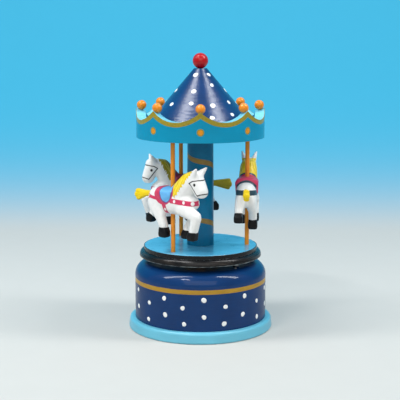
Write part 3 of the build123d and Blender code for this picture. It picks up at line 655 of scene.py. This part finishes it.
class HorsePaint(Paint):
    """Paint laid on in the horse's side view: X forward, Z up."""

    def __init__(self, name):
        super().__init__(name, roughness=0.45, coat=0.1, gloss=0.35)
        self.side_x = self.wobble(self.x, 0.22, 0.45)
        self.side_z = self.wobble(self.z, 0.22, 0.52)

    def stroke(self, start, end, start_width, end_width):
        """Distance to the edge of one brush stroke between two points."""
        ax, az = start
        bx, bz = end
        dx, dz = bx - ax, bz - az
        length_squared = dx * dx + dz * dz
        px = self.maths("SUBTRACT", self.side_x, ax)
        pz = self.maths("SUBTRACT", self.side_z, az)
        along = self.maths("MULTIPLY", pz, dz / length_squared)
        along = self.maths("MULTIPLY_ADD", px, dx / length_squared, along)
        along = self.maths("MAXIMUM", self.maths("MINIMUM", along, 1.0), 0.0)
        off_x = self.maths("MULTIPLY_ADD", along, -dx, px)
        off_z = self.maths("MULTIPLY_ADD", along, -dz, pz)
        away = self.vector("LENGTH", self.join(off_x, 0.0, off_z))
        reach = self.spread(along, start_width / 2, end_width / 2)
        return self.inside(away, reach, 0.22)

    def strokes(self, width, *points):
        """One line drawn through several points."""
        mask = None
        for start, end in zip(points, points[1:]):
            part = self.stroke(start, end, width, width)
            mask = part if mask is None else self.either(mask, part)
        return mask

    def oval(self, centre, radii, soft=0.25):
        """A filled oval in side view."""
        px = self.maths("DIVIDE", self.maths("SUBTRACT", self.side_x, centre[0]), radii[0])
        pz = self.maths("DIVIDE", self.maths("SUBTRACT", self.side_z, centre[1]), radii[1])
        return self.inside(self.vector("LENGTH", self.join(px, 0.0, pz)), 1.0, soft / min(radii))

    def off_centre(self, reach):
        """1 on both flanks, beyond reach from the middle plane."""
        return self.maths("GREATER_THAN", self.maths("ABSOLUTE", self.y), reach)


def mane(paint, hair, reach, colour):
    """Hair painted on the neck, with a ragged front edge and combed streaks."""
    stagger = paint.maths("MULTIPLY", paint.noise(paint.place, 0.16, 2.0), 9.0)
    lock = paint.maths("MULTIPLY_ADD", paint.side_z, 0.8, paint.maths("ADD", paint.side_x, stagger))
    jag = paint.maths("PINGPONG", lock, 1.7)
    front = paint.maths("MULTIPLY_ADD", paint.side_z, NECK_LEAN + 0.05 * reach, -12.4 - 2.0 * reach)
    behind = paint.maths("SUBTRACT", paint.maths("ADD", front, jag), paint.side_x)
    from_withers = paint.maths("SUBTRACT", paint.side_z, 48.4)
    from_withers = paint.maths("MULTIPLY_ADD", paint.side_x, 0.9, from_withers)
    hairy = paint.maths("MULTIPLY", behind, 3.0, clamp=True)
    above_withers = paint.maths("MULTIPLY", from_withers, 3.0, clamp=True)
    below_poll = paint.inside(paint.side_z, 60.8)
    locks = paint.both(paint.both(hairy, above_withers), below_poll)
    along = paint.maths("MULTIPLY_ADD", paint.side_z, -NECK_LEAN, paint.side_x)
    across_hair = paint.maths("MULTIPLY", along, 1.5)
    down_hair = paint.maths("MULTIPLY", paint.z, 0.20)
    combed = paint.noise(paint.join(across_hair, paint.y, down_hair), 0.55, 3.0)
    streak = paint.maths("MULTIPLY_ADD", combed, 7.0, -3.6, clamp=True)
    hair_colour = paint.scaled(hair, paint.spread(combed, 0.35, 1.50))
    hair_colour = paint.mix(paint.maths("MULTIPLY", streak, 0.50), hair_colour, (0.88, 0.74, 0.16))
    paint.add_relief(paint.both(locks, combed), 0.45)
    return paint.mix(locks, colour, hair_colour)


def horse_paint(name, hair, strap, seat, lining, reach, wider, face):
    paint = HorsePaint(name)
    dirt = paint.noise(paint.place, 0.35, 5.0, 0.6)
    cuts = paint.join(paint.x, paint.maths("MULTIPLY", paint.y, 0.4), paint.maths("MULTIPLY", paint.z, 0.5))
    knife = paint.noise(cuts, 0.7, 3.0)
    colour = paint.scaled(WHITE, paint.spread(dirt, 0.84, 1.08))
    paint.add_relief(knife, 0.20)
    paint.add_relief(paint.noise(paint.place, 1.6, 3.0), 0.06)
    colour = mane(paint, hair, reach, colour)

    border = paint.oval((-2.8, 45.0), (9.3 + 0.3 * wider, 9.9))
    piping = paint.oval((-0.1 - wider, 45.8), (5.7 + wider, 9.2))
    cloth = paint.oval((0.0 - wider, 46.0), (5.0 + wider, 8.5))
    if wider:
        # the cloth's rear hem shows as a plain arch over the rump
        over_loin = paint.maths("SUBTRACT", paint.side_z, 39.5)
        from_loin = paint.vector("LENGTH", paint.join(0.0, paint.y, over_loin))
        forward = paint.maths("MULTIPLY_ADD", paint.side_x, 3.0, 28.5, clamp=True)
        hem = paint.either(forward, paint.maths("SUBTRACT", 1.0, paint.inside(from_loin, 8.7, 0.3)))
        piping = paint.both(piping, hem)
        cloth = paint.both(cloth, hem)
    girth = paint.stroke((-2.2, 36.0), (-1.0, 27.0), 3.8, 3.4)
    breast = paint.strokes(3.5, (5.0, 38.8), (14.0, 38.4), (27.0, 37.6))
    crupper = paint.strokes(2.3 + 0.5 * wider, (-10.0, 39.2), (-16.0, 40.0), (-21.0, 40.4))
    harness = paint.either(paint.either(border, girth), paint.either(breast, crupper))
    studded = [((8.2, 38.6), 1.05), ((16.2, 38.5), 1.05), ((-1.5, 31.9), 0.95)]
    if not wider:
        harness = paint.either(harness, paint.oval((-18.4, 40.2), (2.0, 2.0)))
        studded.append(((-18.4, 40.2), 0.95))
    harness_colour = paint.scaled(strap, paint.spread(dirt, 0.75, 1.25))
    colour = paint.mix(harness, colour, harness_colour)
    colour = paint.mix(piping, colour, lining)
    colour = paint.mix(cloth, colour, paint.scaled(seat, paint.spread(dirt, 0.85, 1.15)))
    paint.add_relief(harness, 0.12)

    studs = None
    for centre, size in studded:
        stud = paint.oval(centre, (size, size * 1.15), 0.3)
        studs = stud if studs is None else paint.either(studs, stud)
    for side in (-1, 1):
        there = paint.vector("SUBTRACT", paint.place, (22.6, side * 3.6, 38.0))
        studs = paint.either(studs, paint.inside(paint.vector("LENGTH", there), 1.5, 0.3))
    colour = paint.mix(studs, colour, WHITE)

    bridle_line = (
        (34.0, 55.3), (27.0, 54.9), (23.4, 54.2), (20.6, 52.6), (27.2, 44.2), (29.6, 45.1), (34.0, 46.0)
    )
    bridle = paint.strokes(0.75, *((x + face[0], z + face[1]) for x, z in bridle_line))
    eye_ball = paint.oval((25.2 + face[0], 51.8 + 0.5 * face[1]), (0.95, 1.05), 0.3)
    eye = paint.both(eye_ball, paint.off_centre(1.0))
    colour = paint.mix(paint.either(bridle, eye), colour, BLACK)
    return paint.finish(colour, edge_radius=0.15)


def hair_paint(name, hair):
    """Tail paint with the strokes running along the hair."""
    paint = Paint(name, roughness=0.42, coat=0.05, gloss=0.3)
    along = paint.join(paint.maths("MULTIPLY", paint.x, 0.12), paint.y, paint.z)
    strands = paint.noise(along, 1.3, 4.0, 0.6)
    paint.add_relief(strands, 0.45)
    return paint.finish(paint.scaled(hair, paint.spread(strands, 0.60, 1.30)), edge_radius=0.15)


def hoof_paint():
    paint = Paint("hoof_paint", roughness=0.34, coat=0.1, gloss=0.15)
    paint.add_relief(paint.noise(paint.place, 0.9, 4.0), 0.18)
    worn = paint.maths("MULTIPLY_ADD", paint.noise(paint.place, 0.5, 4.0), 3.0, -1.6, clamp=True)
    return paint.finish(paint.mix(worn, BLACK, (0.009, 0.012, 0.016)), edge_radius=0.15)


def place_horse(data, name, number, material, replaced=None):
    angle = math.radians(POLE_ANGLES[number])
    obj = bpy.data.objects.new(name, data)
    bpy.context.scene.collection.objects.link(obj)
    obj.data.materials.clear()
    obj.data.materials.append(material)
    across, deep = POLE_CIRCLE * MM * math.cos(angle), POLE_CIRCLE * MM * math.sin(angle)
    obj.location = (across, deep, DECK_TOP + HORSE_LIFTS[number] * MM)
    obj.rotation_euler = (0, 0, math.radians(HORSE_HEADINGS[number]))
    if replaced:
        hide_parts(replaced)
    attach(obj, "carousel")
    return obj


def front_horse():
    return {
        "paint": {
            "hair": YELLOW, "strap": PINK, "seat": SEAT_BLUE, "lining": PURPLE,
            "reach": 6.2, "wider": 0.0, "face": (0.0, 0.0),
        },
        "tail": {"longer": 0.0, "aside": 0.0, "raised": 0.0},
        "shape": {
            "crest": 1.3, "nose": 27.2, "ear_base": (23.2, 58.6), "ear_tip": (27.2, 63.0), "saddle_top": 47.7,
        },
        "legs": {"hind_x": 0.0, "hind_z": 0.0, "back_x": 0.0, "fore_z": 0.0},
    }


def right_horse():
    return {
        "paint": {
            "hair": YELLOW, "strap": SLATE, "seat": PINK, "lining": SLATE,
            "reach": 5.0, "wider": 2.9, "face": (0.0, 0.0),
        },
        "tail": {"longer": 0.0, "aside": -1.6, "raised": 2.0},
        "shape": {
            "crest": 0.3, "nose": 26.6, "ear_base": (22.0, 59.4), "ear_tip": (24.6, 65.0), "saddle_top": 49.8,
        },
        "legs": {"hind_x": 0.0, "hind_z": 1.0, "back_x": 0.0, "fore_z": 2.5},
    }


def rear_horse():
    return {
        "paint": {
            # the seat's pink is darkened as painted shade, and the hair's olive is darker in part as painted
            # shade
            "hair": SHADED_OLIVE, "strap": PINK, "seat": SHADED_PINK, "lining": PURPLE,
            "reach": 1.2, "wider": 0.0, "face": (-1.6, 1.3),
        },
        "tail": {"longer": 2.4, "aside": 0.0, "raised": 1.0},
        "shape": {
            "crest": 0.0, "nose": 25.6, "ear_base": (21.8, 59.0), "ear_tip": (23.6, 63.6), "saddle_top": 48.6,
        },
        "legs": {"hind_x": 1.0, "hind_z": 2.0, "back_x": -3.0, "fore_z": 0.0},
    }


def horses():
    """Three horses to one pattern, each a little different, as cut by hand."""
    black = hoof_paint()
    for number, style in enumerate((front_horse(), right_horse(), rear_horse())):
        name = number + 1
        skin = carved(horse_shape(**style["shape"], **style["legs"]), f"horse_skin_{name}", 0.55, 4)
        hooves = carved(hooves_shape(**style["legs"]), f"hooves_skin_{name}", 0.40, 2)
        tail = carved(tail_shape(**style["tail"]), f"tail_skin_{name}", 0.40, 3)
        body_paint = horse_paint(f"horse_paint_{name}", **style["paint"])
        tail_paint = hair_paint(f"hair_paint_{name}", style["paint"]["hair"])
        place_horse(skin, f"carved_horse_{name}", number, body_paint, f"horse_{name}")
        place_horse(hooves, f"hooves_{name}", number, black)
        place_horse(tail, f"brush_tail_{name}", number, tail_paint, f"horse_tail_{name}")


# ------------------------------------------------------------------ stage, light and camera


def backdrop():
    """Pale floor that sweeps up behind the toy into a sky-blue wall."""
    bend_start, bend_radius = 0.35, 0.40
    profile = [(-3.0, 0.0)]
    for step in range(33):
        turn = math.pi / 2 * step / 32
        along = bend_start + bend_radius * math.sin(turn)
        profile.append((along, bend_radius * (1 - math.cos(turn))))
    profile.append((bend_start + bend_radius, 2.5))
    mesh = bmesh.new()
    rows = [[mesh.verts.new((side * 3.0, along, height)) for side in (-1, 1)] for along, height in profile]
    for near, far in zip(rows, rows[1:]):
        mesh.faces.new((near[0], near[1], far[1], far[0]))
    data = bpy.data.meshes.new("backdrop")
    mesh.to_mesh(data)
    mesh.free()
    data.shade_smooth()
    obj = bpy.data.objects.new("backdrop", data)
    bpy.context.scene.collection.objects.link(obj)
    paint = Paint("backdrop_paint", roughness=0.8, gloss=0.1)
    fade = paint.maths("EXPONENT", paint.maths("MULTIPLY", paint.z, -1 / 27))
    colour = paint.mix(fade, SKY, PAPER)
    paper = paint.noise(paint.place, 0.05, 3.0)
    paint.link(colour, paint.shader.inputs["Emission Color"])
    paint.link(paint.spread(fade, 0.62, 0.24), paint.shader.inputs["Emission Strength"])
    shade = paint.maths("MULTIPLY", paint.spread(fade, 0.38, 0.78), paint.spread(paper, 0.98, 1.02))
    data.materials.append(paint.finish(paint.scaled(colour, shade)))


def soft_light(name, direction, distance, size, power):
    """A softbox that faces the object's middle."""
    lamp = bpy.data.lights.new(name, "AREA")
    lamp.shape = "RECTANGLE"
    lamp.size, lamp.size_y = size
    lamp.energy = power
    obj = bpy.data.objects.new(name, lamp)
    bpy.context.scene.collection.objects.link(obj)
    middle = Vector((0, 0, 0.11))
    away = Vector(direction).normalized()
    obj.location = middle + away * distance
    obj.rotation_euler = away.to_track_quat("Z", "Y").to_euler()


def world():
    scene_world = bpy.data.worlds.new("studio")
    bpy.context.scene.world = scene_world
    scene_world.use_nodes = True
    tree = scene_world.node_tree
    tree.nodes.clear()
    output = tree.nodes.new("ShaderNodeOutputWorld")
    background = tree.nodes.new("ShaderNodeBackground")
    coordinates = tree.nodes.new("ShaderNodeTexCoord")
    split = tree.nodes.new("ShaderNodeSeparateXYZ")
    ramp = tree.nodes.new("ShaderNodeValToRGB")
    ramp.color_ramp.elements[0].position = 0.0
    ramp.color_ramp.elements[0].color = (0.84, 0.87, 0.88, 1)
    ramp.color_ramp.elements[1].position = 0.6
    ramp.color_ramp.elements[1].color = (0.70, 0.80, 0.85, 1)
    tree.links.new(coordinates.outputs["Generated"], split.inputs[0])
    tree.links.new(split.outputs[2], ramp.inputs["Fac"])
    tree.links.new(ramp.outputs["Color"], background.inputs["Color"])
    background.inputs["Strength"].default_value = 0.45
    tree.links.new(background.outputs[0], output.inputs["Surface"])


def tone():
    """Plain display tone, so that saturated paint stays saturated."""
    bpy.context.scene.view_settings.view_transform = "Standard"


def camera():
    data = bpy.data.cameras.new("camera")
    data.lens = 93.7
    data.sensor_width = 36.0
    data.clip_start = 0.05
    data.clip_end = 30.0
    obj = bpy.data.objects.new("camera", data)
    bpy.context.scene.collection.objects.link(obj)
    obj.location = (-0.0003, -0.7662, 0.2225)
    obj.rotation_euler = (math.radians(90 - 9.41), 0, 0)
    bpy.context.scene.camera = obj


# ------------------------------------------------------------------ build

use(foot_paint(), "base_foot")
use(drum_paint(), "base_drum", "drum_lid")
use(rim_paint(), "platform_rim", "platform_board")
use(deck_paint(), "platform_deck")
use(column_paint(), "centre_column")
use(canopy_paint(), "canopy_disc")
use(crown_paint(), "crown_ring")
use(roof_paint(), "roof_cone")
use(plain_paint("bead_paint", ORANGE, roughness=0.22, coat=0.5, gloss=0.25), "crown_beads")
use(plain_paint("finial_paint", RED, roughness=0.20, coat=0.4, gloss=0.2), "finial_ball")
use(plain_paint("pole_paint", POLE_ORANGE, roughness=0.30, patch=0.2), "pole_1", "pole_2", "pole_3")
use(plain_paint("knob_paint", KNOB_BLACK_WITH_PAINTED_LIGHT, roughness=0.16, coat=1.0, gloss=0.5), "stop_knob")
use(bare_wood(), "bottom_cover", "roof_dowel", "finial_peg")
brass_nodes = (
    "arbor_bush", "spring_housing", "frame_rivets", "lever_rivet", "great_wheel", "platform_hub",
    "music_cylinder", "drive_pinion", "end_gear", "worm_wheel", "air_fan",
)
steel_nodes = (
    "cover_screws", "thrust_washer", "movement_bedplate", "movement_screws", "mainspring",
    "inner_bracket", "outer_bracket", "governor_frame", "comb", "comb_block", "comb_screws",
    "winding_arbor", "hub_screws", "bead_pins", "cylinder_shaft", "governor_shaft", "worm_shaft",
    "stop_lever",
)
use(metal("brass", BRASS, 0.28), *brass_nodes)
use(metal("steel", STEEL, 0.30), *steel_nodes)

dot_paint = plain_paint("dot_paint", DOT_WHITE, roughness=0.35, coat=0.3, turned=False)
drum_dots(dot_paint)
roof_dots(dot_paint)
horses()
backdrop()
world()
soft_light("left_softbox", (-0.50, -0.12, 0.85), 0.9, (0.15, 0.75), 6.0)
soft_light("right_softbox", (0.58, -0.12, 0.80), 0.9, (0.15, 0.60), 5.0)
soft_light("front_lamp", (-0.36, -0.52, 0.78), 1.0, (0.22, 0.035), 2.6)
soft_light("front_fill", (0.0, -1.0, 0.55), 1.6, (1.6, 1.0), 7.5)
camera()
tone()
